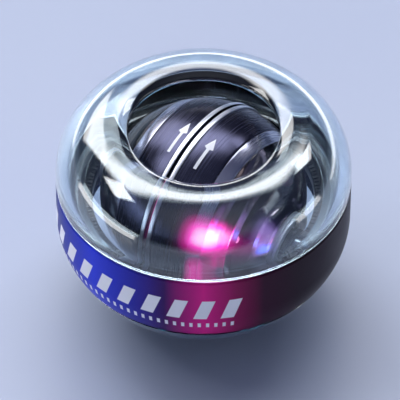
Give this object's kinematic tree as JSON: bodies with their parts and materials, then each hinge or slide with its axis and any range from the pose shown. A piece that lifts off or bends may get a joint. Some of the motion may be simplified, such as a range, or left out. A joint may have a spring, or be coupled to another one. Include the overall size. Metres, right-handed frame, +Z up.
{
  "type": "gyroscopic wrist ball",
  "caption": "Clear hollow ball with a round mouth and a soft grip band, and inside it a chrome rotor that spins on an axle held by a ring in a race.",
  "frame": {"origin": "centre of the flat foot, on the surface that the ball stands on", "axes": "+Z up through the mouth, +X along the axle at rest towards the spring starter"},
  "size_m": [0.068, 0.068, 0.053],
  "materials": {
    "clear_shell": "clear polycarbonate, polished",
    "smoked_lens": "smoked polycarbonate, polished",
    "grip": "glossy film-faced soft band, blue to magenta",
    "chrome": "mirror chrome on zinc",
    "satin": "satin metal",
    "dark_satin": "dark satin metal",
    "steel": "ground steel",
    "black_nylon": "moulded nylon, dark",
    "spring_steel": "blued spring strip",
    "board": "circuit board",
    "lens": "light lens, lit pink-white",
    "ferrite": "dark ferrite",
    "copper": "enamelled copper wire"
  },
  "bodies": {
    "case": {"lower_shell": "clear_shell", "upper_shell": "clear_shell", "grip_band": "grip"},
    "ring": {"precession_ring": "black_nylon", "spring_arbor": "black_nylon", "magnet_carrier": "black_nylon", "ring_magnet": "ferrite"},
    "rotor": {"axle": "steel", "spring_barrel": "satin", "mainspring": "spring_steel", "barrel_lid": "satin", "coil_core_1": "black_nylon", "coil_core_2": "black_nylon", "coil_winding_1": "copper", "coil_winding_2": "copper", "rotor_half_right": "chrome", "trim_ring_right": "satin", "window_ring_right": "smoked_lens", "side_cap_right": "smoked_lens", "end_collar_right": "chrome", "end_disc_right": "dark_satin", "led_board_right": "board", "led_right_1": "lens", "led_right_2": "lens", "led_right_3": "lens", "rotor_half_left": "chrome", "trim_ring_left": "satin", "window_ring_left": "smoked_lens", "side_cap_left": "smoked_lens", "end_collar_left": "chrome", "end_disc_left": "dark_satin", "led_board_left": "board", "led_left_1": "lens", "led_left_2": "lens", "led_left_3": "lens"}
  },
  "joints": [
    {"name": "precession", "type": "hinge", "parent": "case", "child": "ring", "pos_m": [0, 0, 0.0284], "axis": [0, 0, 1], "continuous": true},
    {"name": "rotor_spin", "type": "hinge", "parent": "ring", "child": "rotor", "pos_m": [0, 0, 0.0284], "axis": [1, 0, 0], "continuous": true, "deforming": ["mainspring"]}
  ]
}
